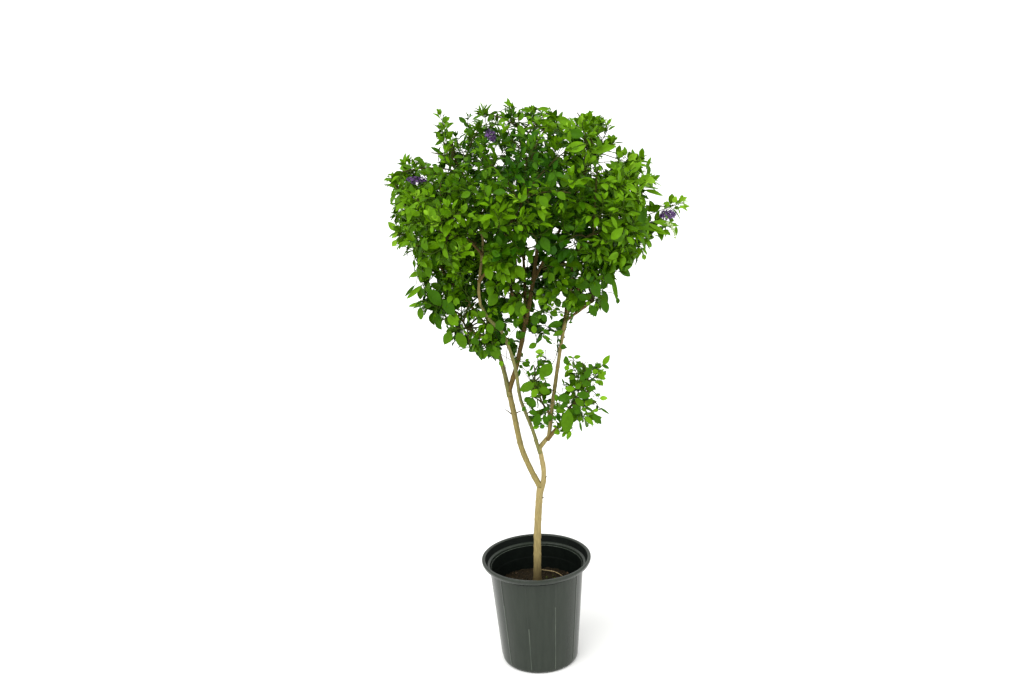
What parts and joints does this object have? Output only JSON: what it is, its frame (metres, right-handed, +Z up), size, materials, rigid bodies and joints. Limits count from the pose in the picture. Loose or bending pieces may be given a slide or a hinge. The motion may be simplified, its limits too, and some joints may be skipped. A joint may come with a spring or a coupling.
{
  "type": "potted duranta shrub",
  "caption": "Young flowering shrub grown as a small tree: forked bare stems rise from a ribbed nursery pot to a rounded leafy head with small violet flower clusters.",
  "frame": {"origin": "centre of the pot's flat underside, which stands on the ground", "axes": "+Z up along the plant, -Y towards the viewer of the picture, +X to that viewer's right, where the long flowering spray reaches out"},
  "size_m": [0.6186, 0.4987, 1.2874],
  "materials": {
    "pot_plastic": "satin",
    "soil": "matt, crumbly",
    "bark": "matt bark",
    "foliage": "soft sheen leaves"
  },
  "bodies": {
    "root": {"pot": "pot_plastic", "soil": "soil", "trunk": "bark", "left_bough": "bark", "right_stem": "bark", "right_fork_limb": "bark", "slender_stem": "bark", "slender_stem_upper": "bark", "right_bough": "bark", "low_right_bough": "bark", "central_leader": "bark", "left_upper_bough": "bark", "left_outer_bough": "bark", "left_low_bough": "bark", "back_left_bough": "bark", "back_bough": "bark", "middle_bough": "bark", "upper_right_bough": "bark", "front_bough": "bark", "front_left_bough": "bark", "right_outer_bough": "bark", "right_low_bough": "bark", "back_right_bough": "bark", "front_right_bough": "bark", "inner_shoot": "bark", "top_mass": "foliage", "upper_left_mass": "foliage", "upper_right_mass": "foliage", "left_mass": "foliage", "right_mass": "foliage", "front_mass": "foliage", "back_mass": "foliage", "front_left_mass": "foliage", "front_right_mass": "foliage", "left_low_mass": "foliage", "right_low_mass": "foliage", "back_left_mass": "foliage", "back_right_mass": "foliage", "middle_mass": "foliage", "low_right_mass": "foliage", "inner_mass": "foliage"}
  },
  "joints": []
}
